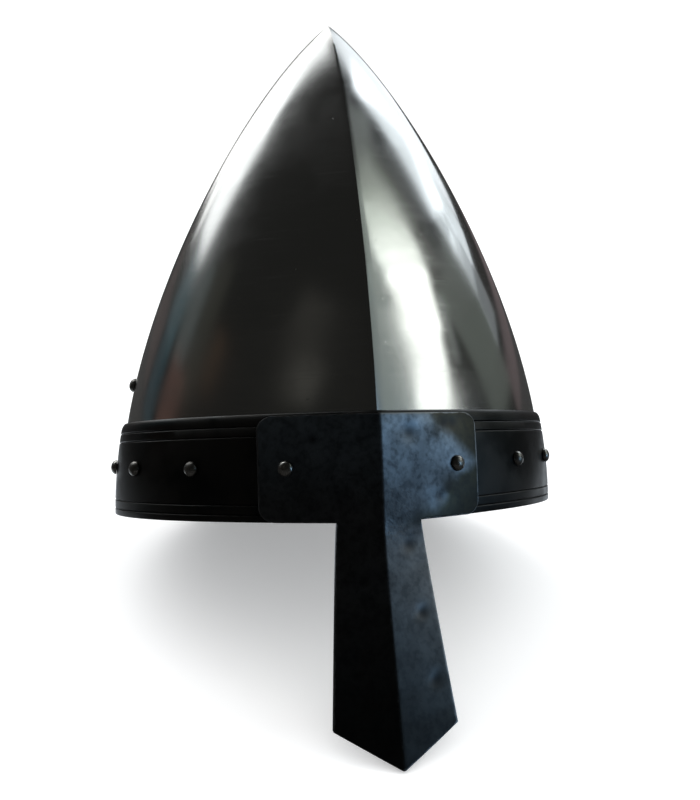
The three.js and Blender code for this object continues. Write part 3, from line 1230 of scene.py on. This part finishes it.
@dataclass
class NoseGuard:
    """The blued T-shaped plate: a flange over the band, and a creased bar that widens to a pointed end."""

    form: HelmetForm
    band: BrowBand
    thickness: float = 2.5 * MM
    flange_half_width: float = 46 * MM
    corner_radius: float = 6 * MM
    below_band_top: float = 1.2 * MM
    rim_gap: float = 0.2 * MM
    bar_half_width_at_rim: float = 17 * MM
    bar_half_width_at_end: float = 23.7 * MM
    depth_to_corners: float = 73.8 * MM
    depth_to_tip: float = 86.5 * MM
    tip_forward: float = 23 * MM
    bend_length: float = 10 * MM
    crease_flattening: float = 0.4
    crease_softness: float = 0.7 * MM
    edge_round: float = 0.5 * MM
    edge_from_deg: float = 60
    round_segments: int = 3
    cell: float = 1.1 * MM
    wing_crowding: float = 1.3
    strip_seam: float = 0.02 * MM
    outline_wear: Wear = Wear(1.0, 0.8 * MM)
    crease_wear: Wear = Wear(0.6, 0.9 * MM)
    sharp_from_deg: float = 35
    dent_steepness: float = 1.6
    dents: tuple[Dent, ...] = (
        Dent(12.8 * MM, 35.0 * MM, 5.2 * MM, 0.70 * MM),
        # these two shallow dents under the flange's top edge carry mostly painted shade, a dark stroke below
        # the edge
        Dent(30 * MM, 38.5 * MM, 4.4 * MM, 0.22 * MM),
        Dent(34 * MM, 38.5 * MM, 4.4 * MM, 0.22 * MM),
        Dent(27 * MM, 9 * MM, 3.2 * MM, 0.45 * MM),
        Dent(10.5 * MM, -8.5 * MM, 4.2 * MM, 0.50 * MM),
        Dent(13.5 * MM, -34 * MM, 3.8 * MM, 0.45 * MM),
        Dent(16.5 * MM, -58 * MM, 4.2 * MM, 0.40 * MM),
        Dent(-9 * MM, -22 * MM, 3.6 * MM, 0.35 * MM),
        Dent(-14 * MM, -55 * MM, 3.4 * MM, 0.35 * MM),
        Dent(-25 * MM, 33 * MM, 3.6 * MM, 0.35 * MM),
    )

    def face(self) -> float:
        """How far the plate's face stands off the dome."""
        return self.band.face() + SHEET_GAP + self.thickness

    def corner_drop(self, x: np.ndarray) -> np.ndarray:
        """How far the flange's rounded corners draw in at distances to the side."""
        past = np.maximum(np.abs(x) - (self.flange_half_width - self.corner_radius), 0)
        return self.corner_radius - np.sqrt(np.maximum(self.corner_radius**2 - past**2, 0))

    def flange_top(self, x: np.ndarray) -> np.ndarray:
        """Height of the flange's top edge at distances to the side."""
        rise = self.band.rise(np.abs(x) / self.form.half_width)
        return self.band.height + rise - self.below_band_top - self.corner_drop(x)

    def on_flange(self, x: np.ndarray, up: np.ndarray) -> np.ndarray:
        """Flat places on the flange.

        Args:
            x: distances to the side.
            up: shares of the way from the bottom edge to the top edge.

        Returns:
            Rows of x and height.
        """
        bottom = self.rim_gap + self.corner_drop(x)
        return np.stack((x, bottom + up * (self.flange_top(x) - bottom)), axis=-1)

    def bar_half_width(self, down: np.ndarray) -> np.ndarray:
        """Half-width of the bar at shares of the way from the rim to its end."""
        return self.bar_half_width_at_rim + down * (self.bar_half_width_at_end - self.bar_half_width_at_rim)

    def chevron(self, share: np.ndarray) -> np.ndarray:
        """Depth of the pointed end at shares of the half-width, 0 to 1."""
        return self.depth_to_tip - (self.depth_to_tip - self.depth_to_corners) * share

    def on_bar(self, share: np.ndarray, down: np.ndarray) -> np.ndarray:
        """Flat places on the bar.

        Args:
            share: shares of the half-width, -1 to 1.
            down: shares of the way from the rim to the pointed end.

        Returns:
            Rows of x and height.
        """
        depth = self.rim_gap - down * (self.chevron(np.abs(share)) + self.rim_gap)
        return np.stack((share * self.bar_half_width(down), depth), axis=-1)

    def bent(self, flat: np.ndarray, sunk: float = 0.0) -> np.ndarray:
        """Bends flat places into one of the plate's faces.

        Args:
            flat: rows of x and height.
            sunk: how far below the front face.

        Returns:
            Places, one row each.
        """
        x, z = flat[:, 0], flat[:, 1]
        level, depth = np.maximum(z, 0), np.maximum(-z, 0)
        radius = self.form.radius_at(level) + self.face() - sunk
        crease = self.form.front_y(np.zeros_like(x), radius, level)
        behind = self.form.front_y(x, radius, level) - crease
        reach = depth**2 / (depth + self.bend_length)
        full_reach = self.depth_to_tip**2 / (self.depth_to_tip + self.bend_length)
        forward = self.tip_forward * reach / full_reach
        flattening = 1 - self.crease_flattening * depth / self.depth_to_tip
        return np.stack((x, crease - forward + behind * flattening, z), axis=-1)

    def strip(self, name: str, columns: int, rows: int, rule: FlatRule) -> Piece:
        """Adds a grid of faces and bends it into one strip of the plate.

        Args:
            name: name of the strip.
            columns: faces across.
            rows: faces along.
            rule: flat places from shares across and along, each from 0 to 1.

        Returns:
            The strip.
        """
        Bench.clear()
        bpy.ops.mesh.primitive_grid_add(x_subdivisions=columns, y_subdivisions=rows, size=1)
        piece = bpy.context.object
        piece.name = piece.data.name = name
        Bench.press(piece, lambda places: self.bent(rule(places[:, 0] + 0.5, places[:, 1] + 0.5)))
        return piece

    def strips(self) -> list[Piece]:
        """Builds the plate's front face: two wings and the middle of the flange, and the bar.

        Returns:
            The strips, the bar last.
        """
        half = self.bar_half_width_at_rim
        wing = self.flange_half_width - half
        across = 2 * round(half / self.cell)
        out = round(self.wing_crowding * wing / self.cell)
        up = round(self.band.height / self.cell)
        down = round(self.depth_to_tip / self.cell)

        def wing_rule(side: Side) -> FlatRule:
            """Rule for one wing, whose columns crowd towards its rounded corners."""
            return lambda u, v: self.on_flange(side.value * (half + wing * np.sin(u * math.pi / 2)), v)

        return [
            *(self.strip(f"wing_{side.name.lower()}", out, up, wing_rule(side)) for side in Side),
            self.strip("flange_middle", across, up, lambda u, v: self.on_flange(half * (2 * u - 1), v)),
            self.strip("bar", across, down, lambda u, v: self.on_bar(2 * u - 1, 1 - v)),
        ]

    def joined_sheet(self) -> Piece:
        """Joins the strips into one sheet that faces forwards, with a softened crease.

        Returns:
            The sheet.
        """
        strips = self.strips()
        sheet = strips[-1]
        Bench.join(strips, sheet, "creased_nose_guard")
        Bench.close_skin(self.strip_seam)
        backwards = sum(face.normal.y * face.area for face in sheet.data.polygons) > 0
        if backwards:
            bpy.ops.object.mode_set(mode="EDIT")
            bpy.ops.mesh.select_all(action="SELECT")
            bpy.ops.mesh.flip_normals()
            bpy.ops.object.mode_set(mode="OBJECT")

        def on_crease(first: Vector, second: Vector) -> bool:
            """Whether an edge runs along the crease."""
            return max(abs(first.x), abs(second.x)) < MIDDLE_TOLERANCE

        Bench.soften(sheet, on_crease, self.crease_softness, self.round_segments)
        return sheet

    def thicken(self, sheet: Piece) -> None:
        """Pulls a copy of the sheet back to the plate's rear face and walls the two together.

        Args:
            sheet: the front face.
        """
        Bench.take(sheet)
        bpy.ops.object.mode_set(mode="EDIT")
        bpy.ops.mesh.select_mode(type="FACE")
        bpy.ops.mesh.select_all(action="SELECT")
        bpy.ops.mesh.extrude_region_move(TRANSFORM_OT_translate={"value": (0, self.thickness, 0)})
        bpy.ops.object.mode_set(mode="OBJECT")
        rear = np.empty(len(sheet.data.vertices), dtype=bool)
        sheet.data.vertices.foreach_get("select", rear)
        places = Bench.places(sheet)
        places[rear] = self.bent(places[rear][:, (0, 2)], self.thickness)
        Bench.press(sheet, lambda _: places)
        bpy.ops.object.mode_set(mode="EDIT")
        bpy.ops.mesh.select_all(action="SELECT")
        bpy.ops.mesh.normals_make_consistent(inside=False)
        bpy.ops.object.mode_set(mode="OBJECT")

    def dent_shares(self, places: np.ndarray) -> list[np.ndarray]:
        """How deep in each dent every place lies, from 0 to 1."""
        return [
            fading(np.hypot(places[:, 0] - dent.x, places[:, 2] - dent.z), dent.radius / self.dent_steepness)
            for dent in self.dents
        ]

    def hammer(self, piece: Piece) -> None:
        """Sinks the hammer marks into the front face.

        Args:
            piece: the thick plate.
        """
        places = Bench.places(piece)
        facing = np.empty(3 * len(piece.data.vertices))
        piece.data.vertex_normals.foreach_get("vector", facing)
        front = np.clip(-facing.reshape(-1, 3)[:, 1], 0, 1)
        for dent, share in zip(self.dents, self.dent_shares(places)):
            places[:, 1] += front * dent.depth * share
        Bench.press(piece, lambda _: places)

    def edge_values(self, places: np.ndarray) -> np.ndarray:
        """Finds the edges that wear bare: the outline and the crease.

        Args:
            places: places of the plate's vertices.

        Returns:
            Values from 0 to 1.
        """
        x, z = np.abs(places[:, 0]), places[:, 2]
        half = self.bar_half_width(np.clip(-z / self.depth_to_corners, 0, 1))
        to_end = self.chevron(np.minimum(x / self.bar_half_width_at_end, 1)) + z
        to_top = self.flange_top(x) - z
        to_wing_edge = np.minimum(z - self.rim_gap - self.corner_drop(x), self.flange_half_width - x)
        to_flange_edge = np.where(x < self.bar_half_width_at_rim, to_top, np.minimum(to_top, to_wing_edge))
        away = np.where(z > 0, to_flange_edge, np.minimum(half - x, to_end))
        return np.maximum(self.outline_wear.on(np.maximum(away, 0)), self.crease_wear.on(x))

    def build(self, material: Material, drills: Piece) -> None:
        """Builds and dresses the nose guard.

        Args:
            material: its finish.
            drills: what cuts the rivets' holes.
        """
        piece = self.joined_sheet()
        self.thicken(piece)
        Bench.apply_modifier(
            piece, "BEVEL", width=self.edge_round, segments=self.round_segments, limit_method="ANGLE",
            angle_limit=math.radians(self.edge_from_deg),
        )
        Bench.drill(piece, drills)
        self.hammer(piece)
        Bench.mark(piece, "edge", self.edge_values(Bench.places(piece)))
        # marks each dent's hollow for the finish to darken: painted shade in the dents
        Bench.mark(piece, "dent_shade", np.max(self.dent_shares(Bench.places(piece)), axis=0))
        Bench.smooth(piece, self.sharp_from_deg)
        hand_over(piece, material, "nasal")


@dataclass(frozen=True)
class RivetSeat:
    """One rivet's node and its place: a matrix whose Z axis leaves the surface."""

    node: str
    seat: Seat
    matrix: Matrix


@dataclass
class Rivets:
    """The round-headed rivets: along the band, through the nose guard's flange, and on the dome's sides."""

    form: HelmetForm
    band: BrowBand
    nasal: NoseGuard
    dome_wall: float
    head_radius: float = 3.3 * MM
    head_height: float = 2.6 * MM
    head_lift: float = 0.1 * MM
    head_seat_share: float = 0.93
    head_first_turn: float = 0.06
    head_fullness: float = 0.9
    head_steps: int = 10
    shank_radius: float = 1.6 * MM
    inner_head_radius: float = 2.8 * MM
    inner_head_height: float = 1.2 * MM
    inner_side_share: float = 0.35
    inner_steps: int = 6
    inner_gap: float = 0.3 * MM
    row_height: float = 21.7 * MM
    plate_angle: float = math.radians(16.7)
    spaces_to_back: int = 7
    dome_angle: float = math.radians(90)
    dome_height: float = 60 * MM
    sides: int = 28
    sharp_from_deg: float = 50
    drill_sides: int = 24
    drill_length: float = 30 * MM
    probe: float = 1e-4
    seats: list[RivetSeat] = field(default_factory=list)

    def __post_init__(self) -> None:
        """Works out every seat."""
        step = (math.pi - self.plate_angle) / self.spaces_to_back
        for side in Side:
            word = side.name.lower()
            angle = side.value * self.plate_angle
            self.add_seat(f"nasal_rivet_{word}", Seat.PLATE, angle, self.row_height)
            for place in range(1, self.spaces_to_back):
                angle = side.value * (self.plate_angle + place * step)
                self.add_seat(f"band_rivet_{word}_{place}", Seat.BAND, angle, self.row_height)
            self.add_seat(f"dome_rivet_{word}", Seat.DOME, side.value * self.dome_angle, self.dome_height)
        self.add_seat("band_rivet_back", Seat.BAND, math.pi, self.row_height)

    def standoff(self, seat: Seat) -> float:
        """How far a seat's surface stands off the dome."""
        return {Seat.DOME: 0.0, Seat.BAND: self.band.face(), Seat.PLATE: self.nasal.face()}[seat]

    def stack(self, seat: Seat) -> float:
        """Thickness of the sheets that a rivet holds together."""
        return self.standoff(seat) + self.dome_wall

    def add_seat(self, node: str, seat: Seat, angle: float, height: float) -> None:
        """Adds a seat.

        Args:
            node: the rivet's node.
            seat: what it sits on.
            angle: its turn from the front.
            height: its height above the rim.
        """

        def at(turn: float, level: float) -> Vector:
            """Finds a place on the seat's surface.

            Args:
                turn: turn from the front.
                level: height above the rim.

            Returns:
                The place.
            """
            radius = self.form.radius_at(level) + self.standoff(seat)
            wrapped = (turn + math.pi) % (2 * math.pi) - math.pi
            return Vector(self.form.section(np.float64(wrapped), radius, np.float64(level)))

        around = at(angle + self.probe, height) - at(angle - self.probe, height)
        up = at(angle, height + self.probe) - at(angle, height - self.probe)
        turn = around.cross(up).normalized().to_track_quat("Z", "Y").to_matrix()
        self.seats.append(RivetSeat(node, seat, Matrix.Translation(at(angle, height)) @ turn.to_4x4()))

    def cut(self, seat: Seat) -> Points:
        """Draws a rivet's half section, from the inner head to the outer one.

        Args:
            seat: what the rivet sits on.

        Returns:
            Points of (radius, height).
        """
        inner = -(self.stack(seat) + self.inner_gap)
        points = []
        for turn in np.linspace(math.pi / 2, 0, self.inner_steps):
            radius = self.inner_head_radius * math.cos(turn)
            fullness = self.inner_side_share + (1 - self.inner_side_share) * math.sin(turn)
            points.append((radius, inner - self.inner_head_height * fullness))
        points[0] = (0.0, points[0][1])
        points += [
            (self.inner_head_radius, inner),
            (self.shank_radius, inner),
            (self.shank_radius, self.head_lift),
            (self.head_seat_share * self.head_radius, self.head_lift),
        ]
        for turn in np.linspace(self.head_first_turn, math.pi / 2, self.head_steps):
            height = self.head_lift + self.head_height * math.sin(turn) ** self.head_fullness
            points.append((self.head_radius * math.cos(turn), height))
        points[-1] = (0.0, points[-1][1])
        return points

    def drills(self) -> Piece:
        """Builds one mesh of all the drills that cut the rivets' holes.

        Returns:
            The drills.
        """
        Bench.clear()
        made = []
        for seat in self.seats:
            bpy.ops.mesh.primitive_cylinder_add(
                vertices=self.drill_sides, radius=self.shank_radius + SHEET_GAP, depth=self.drill_length,
            )
            made.append(bpy.context.object)
            Bench.place(made[-1], seat.matrix)
        Bench.join(made, made[0], "rivet_drills")
        return made[0]

    def build(self, material: Material) -> None:
        """Builds and dresses every rivet, each kind modelled once and copied.

        Args:
            material: their finish.
        """
        patterns = {}
        for seat in Seat:
            pattern = Bench.draw_profile(f"rivet_pattern_{seat.value}", self.cut(seat))
            Bench.turn(pattern, self.sides)
            Bench.smooth(pattern, self.sharp_from_deg)
            patterns[seat] = pattern
        for seat in self.seats:
            rivet = patterns[seat.seat].copy()
            rivet.data = patterns[seat.seat].data.copy()
            rivet.name = rivet.data.name = f"{seat.node}_forged"
            bpy.context.scene.collection.objects.link(rivet)
            Bench.place(rivet, seat.matrix)
            hand_over(rivet, material, seat.node)
        for pattern in patterns.values():
            bpy.data.objects.remove(pattern)


@dataclass(frozen=True)
class SoftLight:
    """A large soft lamp, given by the part of the room that it fills as seen from the helmet."""

    name: str
    azimuths_deg: Span
    elevations_deg: Span
    brightness: float
    color: Triple = (1.0, 1.0, 1.0)
    lean_deg: float = 0.0
    distance: float = 2.4

    def build(self, aim: Vector) -> None:
        """Adds the lamp, turned to the helmet, its top leaning to growing azimuths.

        Args:
            aim: the point that it faces.
        """
        azimuth = math.radians(sum(self.azimuths_deg) / 2)
        elevation = math.radians(sum(self.elevations_deg) / 2)
        across = math.radians(self.azimuths_deg[1] - self.azimuths_deg[0]) * math.cos(elevation)
        along = math.radians(self.elevations_deg[1] - self.elevations_deg[0])
        away = Vector((
            math.sin(azimuth) * math.cos(elevation),
            -math.cos(azimuth) * math.cos(elevation),
            math.sin(elevation),
        ))
        bpy.ops.object.light_add(type="AREA", location=aim + self.distance * away)
        lamp = bpy.context.object
        lamp.name = self.name
        lamp.data.shape = "RECTANGLE"
        lamp.data.size = 2 * self.distance * math.tan(across / 2)
        lamp.data.size_y = 2 * self.distance * math.tan(along / 2)
        lamp.data.energy = math.pi * self.brightness * lamp.data.size * lamp.data.size_y
        lamp.data.color = self.color
        lamp.visible_camera = False
        leaning = Quaternion((0, 0, 1), -math.radians(self.lean_deg))
        lamp.rotation_euler = (away.to_track_quat("Z", "Y") @ leaning).to_euler()


@dataclass
class Studio:
    """A pale sweep, soft lamps and the camera at the photograph's angle."""

    sweep_half_width: float = 7.0
    sweep_front: float = 5.0
    sweep_back: float = 4.0
    sweep_height: float = 2.8
    sweep_round: float = 1.2
    sweep_segments: int = 16
    sweep_sharp_from_deg: float = 40
    corner_tolerance: float = 0.01
    paper_color: Color = (0.87, 0.87, 0.87, 1)
    paper_light_color: Color = (0.90, 0.90, 0.90, 1)
    paper_scale: float = 60.0
    paper_detail: float = 3.0
    paper_roughness: float = 0.9
    paper_specular: float = 0.1
    paper_glow: float = 0.3
    mirrored_color: Color = (0.038, 0.036, 0.035, 1)
    mirrored_near_color: Color = (0.84, 0.90, 0.96, 1)
    near_floor_middle: Triple = (0.05, 0.06, 0.0)
    near_floor_radii: Span = (0.16, 0.36)
    near_floor_front: Span = (0.0, 0.05)
    room_color: Color = (0.85, 0.85, 0.85, 1)
    room_mirrored_color: Color = (0.016, 0.016, 0.015, 1)
    white: Color = (1, 1, 1, 1)
    aim_height: float = 0.15
    lamps: tuple[SoftLight, ...] = (
        SoftLight("lamp_behind_left_high", (-178, -166), (30, 57), 2.2),
        SoftLight("lamp_behind_left", (-167, -155), (8, 50), 2.2),
        SoftLight("lamp_back_left", (-156, -139), (14, 47), 2.2, (0.97, 0.99, 1.0)),
        SoftLight("lamp_left", (-141.5, -121.2), (21.3, 43.2), 2.1, (0.95, 0.98, 1.0), lean_deg=-18),
        SoftLight("lamp_left_high", (-160, -135.6), (37, 60.5), 2.1, (0.95, 0.98, 1.0), lean_deg=-46),
        SoftLight("lamp_back_right", (116.5, 135), (23.5, 30), 1.5, (0.86, 0.94, 1.0)),
        SoftLight("lamp_back_right_inner", (111.5, 117), (21.5, 29), 0.85, (0.86, 0.94, 1.0)),
        SoftLight("lamp_back_right_outer", (120.5, 129), (14, 24), 1.25, (0.86, 0.94, 1.0)),
        SoftLight("lamp_back_right_low", (112, 121), (19, 23), 1.1, (0.86, 0.94, 1.0)),
        SoftLight("lamp_back_right_lower", (112, 121), (15, 19), 0.7, (0.86, 0.94, 1.0)),
        SoftLight("lamp_back_right_high", (116.6, 133.2), (23.8, 46.6), 1.55, (0.86, 0.94, 1.0), lean_deg=37),
        SoftLight("lamp_back_right_fade", (112, 122), (7, 15), 0.25, (0.86, 0.94, 1.0)),
        SoftLight("lamp_behind_right", (128, 156), (14.5, 47), 1.65, (0.88, 0.94, 1.0)),
        SoftLight("window_right_low", (73, 83.6), (9, 29.5), 2.3, (0.96, 1.0, 0.97), lean_deg=30),
        SoftLight("window_right", (79.7, 92.9), (25.8, 35), 2.3, (0.96, 1.0, 0.96), lean_deg=35),
        SoftLight("window_right_fade_1", (82.5, 97.5), (32.8, 37.4), 1.6, (0.95, 1.0, 0.95), lean_deg=33),
        SoftLight("window_right_fade_2", (83.5, 99.5), (36.8, 39.5), 1.48, (0.94, 1.0, 0.94), lean_deg=33),
        SoftLight("window_right_fade_3", (84.6, 101), (39.2, 41.6), 1.36, (0.93, 1.0, 0.93), lean_deg=33),
        SoftLight("window_right_fade_4", (86.5, 102.5), (41.3, 43.6), 1.1, (0.92, 1.0, 0.92), lean_deg=33),
        SoftLight("window_right_fade_5", (88.5, 104), (43.3, 45.6), 0.86, (0.91, 1.0, 0.91), lean_deg=33),
        SoftLight("window_right_fade_6", (90.5, 106), (45.3, 47.8), 0.56, (0.9, 1.0, 0.9), lean_deg=33),
        SoftLight("window_right_fade_7", (93, 108), (47.5, 50.5), 0.34, (0.9, 1.0, 0.9), lean_deg=33),
        SoftLight("window_right_over", (102, 120), (46, 53), 0.20, (0.9, 1.0, 0.97)),
        SoftLight("window_right_frame", (57, 74), (17, 46), 0.30, (0.85, 1.0, 0.97)),
        SoftLight("window_right_frame_middle", (74, 80), (26, 36), 0.28, (0.85, 1.0, 0.97)),
        SoftLight("window_right_frame_high", (74, 86), (36, 46), 0.32, (0.88, 1.0, 0.95)),
        SoftLight("window_right_frame_top", (74, 94), (46, 58), 0.32, (0.88, 1.0, 0.93)),
        SoftLight("window_right_line", (90.4, 92), (17, 27), 0.25, (0.9, 1.0, 0.97), lean_deg=30),
        SoftLight("room_right", (94, 113), (2, 27), 0.13, (0.88, 1.0, 0.92)),
        SoftLight("room_right_low", (112, 150), (-8, 4), 0.12, (1.0, 0.78, 0.82)),
        SoftLight("fill_right", (53, 69), (-3, 15), 2.8, (0.5, 0.83, 1.2)),
        SoftLight("fill_right_low", (69, 82), (-6, 9), 0.6, (0.55, 0.83, 1.1)),
        SoftLight("fill_front_right", (40, 55), (18, 32), 0.5, (0.6, 0.85, 1.1)),
        SoftLight("room_left_gray", (-114, -103), (14, 30), 0.10, (0.85, 1.0, 1.0), lean_deg=-18),
        SoftLight("room_left_brown", (-110, -96), (0, 15), 0.085, (1.0, 0.52, 0.42)),
        SoftLight("room_left_teal", (-130, -115), (10, 22), 0.11, (0.45, 0.85, 1.0)),
        SoftLight("room_left_teal_low", (-127, -114), (-3.4, 10), 0.05, (0.25, 0.75, 1.0)),
        SoftLight("room_left_orange", (-90, -83), (18, 28), 0.045, (1.0, 0.55, 0.3)),
        SoftLight("room_left_rim", (-156, -131), (-15, 8), 0.06, (1.0, 0.78, 0.76)),
        SoftLight("room_left_dim", (-102, -92), (12, 36), 0.026, (1.0, 1.0, 0.8), lean_deg=-18),
        SoftLight("room_front_left", (-60, -51), (27, 36), 0.06, (1.0, 0.97, 0.87)),
        SoftLight("room_front_left_high", (-65, -54), (36, 47), 0.03, (1.0, 0.95, 0.85)),
    )
    camera_distance: float = 0.460
    camera_target_height: float = 0.075
    camera_yaw_deg: float = -9.98
    camera_pitch_deg: float = -4.70
    camera_roll_deg: float = 1.43
    focal_px: float = 924.2
    pan_px: float = -15.7
    tilt_px: float = -48.1
    image_height_px: int = 800
    sensor_mm: float = 36.0
    nearest_seen: float = 0.01

    def sweep_material(self) -> Material:
        """Builds pale paper, mirrored as dark so that steel shows the lamps, but for the part behind it.

        Returns:
            The material.
        """
        material = bpy.data.materials.new("pale_sweep_paper")
        material.use_nodes = True
        board = NodeBoard(material.node_tree)
        shader = material.node_tree.nodes["Principled BSDF"].inputs
        shader["Roughness"].default_value = self.paper_roughness
        shader["Specular IOR Level"].default_value = self.paper_specular
        shader["Emission Color"].default_value = self.white
        mirrored = board.add("ShaderNodeLightPath").outputs["Is Glossy Ray"]
        glow = board.math("MULTIPLY", board.math("SUBTRACT", 1.0, mirrored), self.paper_glow)
        board.join(glow, shader["Emission Strength"])
        place = board.add("ShaderNodeTexCoord").outputs["Object"]
        grain = board.noise(place, self.paper_scale, self.paper_detail)
        paper = board.mix(grain, self.paper_color, self.paper_light_color)
        away = board.add("ShaderNodeVectorMath", operation="DISTANCE")
        board.join(place, away.inputs[0])
        away.inputs[1].default_value = self.near_floor_middle
        near = board.ramp(away.outputs["Value"], *self.near_floor_radii, 1.0, 0.0)
        near = board.math("MULTIPLY", near, board.ramp(board.split(place)["Y"], *self.near_floor_front))
        seen = board.mix(near, self.mirrored_color, self.mirrored_near_color)
        board.join(board.mix(mirrored, paper, seen), shader["Base Color"])
        return material

    def build_sweep(self) -> None:
        """Builds the floor and the wall behind it as one sheet with a round bend."""
        Bench.clear()
        bpy.ops.mesh.primitive_plane_add(size=2)
        sweep = bpy.context.object
        sweep.name = "pale_sweep"
        middle = (self.sweep_back - self.sweep_front) / 2
        half_length = (self.sweep_back + self.sweep_front) / 2
        size = Matrix.Diagonal((self.sweep_half_width, half_length, 1, 1))
        Bench.place(sweep, Matrix.Translation((0, middle, 0)) @ size)
        back = self.sweep_back - self.corner_tolerance

        def at_back(first: Vector, second: Vector) -> bool:
            """Whether an edge lies at the back of the floor."""
            return min(first.y, second.y) > back and max(first.z, second.z) < self.corner_tolerance

        Bench.select_edges(sweep, at_back)
        bpy.ops.mesh.extrude_region_move(TRANSFORM_OT_translate={"value": (0, 0, self.sweep_height)})
        bpy.ops.object.mode_set(mode="OBJECT")
        Bench.select_edges(sweep, at_back)
        bpy.ops.mesh.bevel(offset=self.sweep_round, segments=self.sweep_segments, affect="EDGES")
        bpy.ops.object.mode_set(mode="OBJECT")
        Bench.smooth(sweep, self.sweep_sharp_from_deg)
        sweep.data.materials.append(self.sweep_material())

    def build_world(self) -> None:
        """A pale room, white to the camera, that steel mirrors as a dim one."""
        world = bpy.data.worlds.new("studio_room")
        bpy.context.scene.world = world
        world.use_nodes = True
        board = NodeBoard(world.node_tree)
        background = world.node_tree.nodes["Background"].inputs
        rays = board.add("ShaderNodeLightPath").outputs
        lit = board.mix(rays["Is Glossy Ray"], self.room_color, self.room_mirrored_color)
        board.join(board.mix(rays["Is Camera Ray"], lit, self.white), background["Color"])

    def build_camera(self) -> None:
        """Adds the camera where the photograph was taken from, carried with the helmet into its rest pose."""
        yaw, pitch = math.radians(self.camera_yaw_deg), math.radians(self.camera_pitch_deg)
        away = Vector((math.sin(yaw) * math.cos(pitch), -math.cos(yaw) * math.cos(pitch), math.sin(pitch)))
        place = Vector((0, 0, self.camera_target_height)) + self.camera_distance * away
        turn = (-away).to_track_quat("-Z", "Y").to_matrix()
        pan = math.atan2(self.pan_px, self.focal_px)
        tilt = math.atan2(self.tilt_px, self.focal_px)
        turn = turn @ Matrix.Rotation(pan, 3, "Y") @ Matrix.Rotation(tilt, 3, "X")
        turn = turn @ Matrix.Rotation(-math.radians(self.camera_roll_deg), 3, "Z")
        data = bpy.data.cameras.new("photo_camera")
        data.sensor_width = self.sensor_mm
        data.lens = self.focal_px / self.image_height_px * self.sensor_mm
        data.clip_start = self.nearest_seen
        camera = bpy.data.objects.new("photo_camera", data)
        bpy.context.scene.collection.objects.link(camera)
        camera.matrix_world = RestPose().matrix() @ Matrix.Translation(place) @ turn.to_4x4()
        bpy.context.scene.camera = camera

    def build(self) -> None:
        """Builds the whole studio."""
        self.build_sweep()
        self.build_world()
        for lamp in self.lamps:
            lamp.build(Vector((0, 0, self.aim_height)))
        self.build_camera()
        bpy.context.scene.view_settings.view_transform = "Standard"


def main() -> None:
    """Builds the helmet piece by piece, and then the studio round it."""
    logging.basicConfig(level=logging.INFO, format="%(name)s: %(message)s")
    effects = SharedEffects()
    form = HelmetForm()
    dome = Dome(form)
    band = BrowBand(form)
    nasal = NoseGuard(form, band)
    rivets = Rivets(form, band, nasal, dome.wall)
    drills = rivets.drills()
    dome.build(PolishedSteel().build(effects), drills)
    band.build(BlackenedSteel().build(effects), drills)
    nasal.build(BluedSteel().build(effects), drills)
    bpy.data.objects.remove(drills)
    rivets.build(RivetSteel().build(effects))
    Studio().build()


if __name__ == "__main__":
    main()
